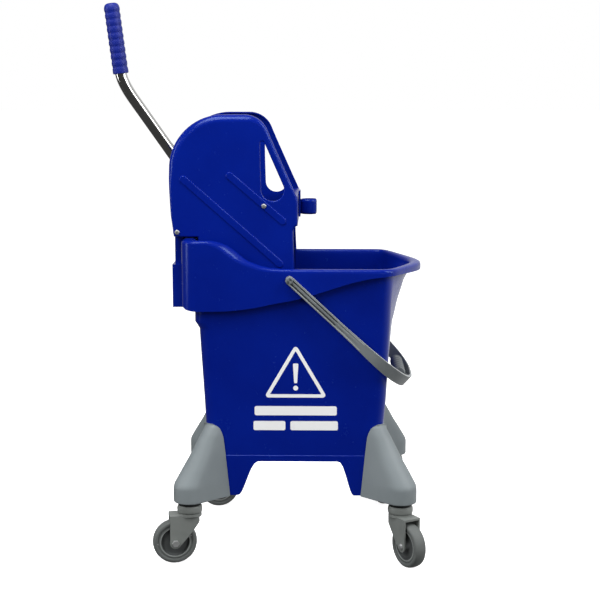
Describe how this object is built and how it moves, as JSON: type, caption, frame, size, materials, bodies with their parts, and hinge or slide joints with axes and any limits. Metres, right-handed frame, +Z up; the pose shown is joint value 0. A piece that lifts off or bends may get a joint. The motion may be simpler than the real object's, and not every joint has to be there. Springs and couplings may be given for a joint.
{
  "type": "mop bucket with down-press wringer",
  "caption": "Wheeled mop bucket with pouring rim, tipping bail and a lift-off down-press wringer with a bent metal lever.",
  "frame": {"origin": "centre of the bounding box in plan, on the floor under the wheels", "axes": "+X towards the pouring lip, +Y towards the left side, +Z up"},
  "size_m": [0.5478, 0.4242, 0.9394],
  "materials": {
    "blue_plastic": "satin moulded",
    "grey_plastic": "fine texture",
    "fork_grey": "satin",
    "tyre_rubber": "matte",
    "hub_plastic": "matte",
    "bail_grey": "satin",
    "chrome": "polished",
    "zinc": "plated"
  },
  "bodies": {
    "bucket": {"bucket_shell": "blue_plastic", "housing_rear_right": "grey_plastic", "housing_front_right": "grey_plastic", "housing_rear_left": "grey_plastic", "housing_front_left": "grey_plastic", "collar_rear_right": "fork_grey", "collar_front_right": "fork_grey", "collar_rear_left": "fork_grey", "collar_front_left": "fork_grey", "bail_stud_right": "grey_plastic", "bail_stud_left": "grey_plastic"},
    "bail": {"bail_frame": "bail_grey", "bail_grip": "bail_grey"},
    "wringer": {"cheek_right": "blue_plastic", "cheek_left": "blue_plastic", "front_grille": "blue_plastic", "strainer": "blue_plastic", "rear_hook": "blue_plastic", "tie_rod_rear": "zinc", "handle_clip": "blue_plastic", "screw_rear_right": "zinc", "screw_rear_left": "zinc", "screw_front_right": "zinc", "screw_front_left": "zinc", "return_spring_right": "zinc", "return_spring_left": "zinc"},
    "press": {"main_axle": "zinc", "press_plate": "blue_plastic", "lever_socket": "fork_grey", "socket_bolt_1": "zinc", "socket_bolt_2": "zinc", "press_lever": "chrome", "lever_grip": "blue_plastic"},
    "swivel_rear_right": {"fork_rear_right": "fork_grey", "axle_bolt_rear_right": "zinc", "axle_nut_rear_right": "zinc"},
    "wheel_rear_right": {"wheel_hub_rear_right": "hub_plastic", "wheel_tyre_rear_right": "tyre_rubber"},
    "swivel_front_right": {"fork_front_right": "fork_grey", "axle_bolt_front_right": "zinc", "axle_nut_front_right": "zinc"},
    "wheel_front_right": {"wheel_hub_front_right": "hub_plastic", "wheel_tyre_front_right": "tyre_rubber"},
    "swivel_rear_left": {"fork_rear_left": "fork_grey", "axle_bolt_rear_left": "zinc", "axle_nut_rear_left": "zinc"},
    "wheel_rear_left": {"wheel_hub_rear_left": "hub_plastic", "wheel_tyre_rear_left": "tyre_rubber"},
    "swivel_front_left": {"fork_front_left": "fork_grey", "axle_bolt_front_left": "zinc", "axle_nut_front_left": "zinc"},
    "wheel_front_left": {"wheel_hub_front_left": "hub_plastic", "wheel_tyre_front_left": "tyre_rubber"}
  },
  "joints": [
    {"name": "press_lever_pivot", "type": "hinge", "parent": "wringer", "child": "press", "pos_m": [-0.0905, 0, 0.5834], "axis": [0, -1, 0], "range_deg": [0, 45], "stiffness_Nm_per_rad": 3, "springref_deg": -40.11},
    {"name": "bail_pivot", "type": "hinge", "parent": "bucket", "child": "bail", "pos_m": [0.0465, 0, 0.4824], "axis": [0, -1, 0], "range_deg": [0, 118]},
    {"name": "wringer_lift", "type": "slide", "parent": "bucket", "child": "wringer", "axis": [0, 0, 1], "range_m": [0, 0.25]},
    {"name": "swivel_rear_right", "type": "hinge", "parent": "bucket", "child": "swivel_rear_right", "pos_m": [-0.1225, -0.155, 0.09], "axis": [0, 0, 1], "continuous": true},
    {"name": "wheel_rear_right", "type": "hinge", "parent": "swivel_rear_right", "child": "wheel_rear_right", "pos_m": [-0.14802, -0.15996, 0.0375], "axis": [0.1908, -0.9816, 0], "continuous": true},
    {"name": "swivel_front_right", "type": "hinge", "parent": "bucket", "child": "swivel_front_right", "pos_m": [0.2335, -0.155, 0.09], "axis": [0, 0, 1], "continuous": true},
    {"name": "wheel_front_right", "type": "hinge", "parent": "swivel_front_right", "child": "wheel_front_right", "pos_m": [0.24728, -0.17705, 0.0375], "axis": [0.848, 0.5299, 0], "continuous": true},
    {"name": "swivel_rear_left", "type": "hinge", "parent": "bucket", "child": "swivel_rear_left", "pos_m": [-0.1225, 0.155, 0.09], "axis": [0, 0, 1], "continuous": true},
    {"name": "wheel_rear_left", "type": "hinge", "parent": "swivel_rear_left", "child": "wheel_rear_left", "pos_m": [-0.09675, 0.15862, 0.0375], "axis": [-0.1392, 0.9903, 0], "continuous": true},
    {"name": "swivel_front_left", "type": "hinge", "parent": "bucket", "child": "swivel_front_left", "pos_m": [0.2335, 0.155, 0.09], "axis": [0, 0, 1], "continuous": true},
    {"name": "wheel_front_left", "type": "hinge", "parent": "swivel_front_left", "child": "wheel_front_left", "pos_m": [0.21972, 0.17705, 0.0375], "axis": [-0.848, -0.5299, 0], "continuous": true}
  ]
}
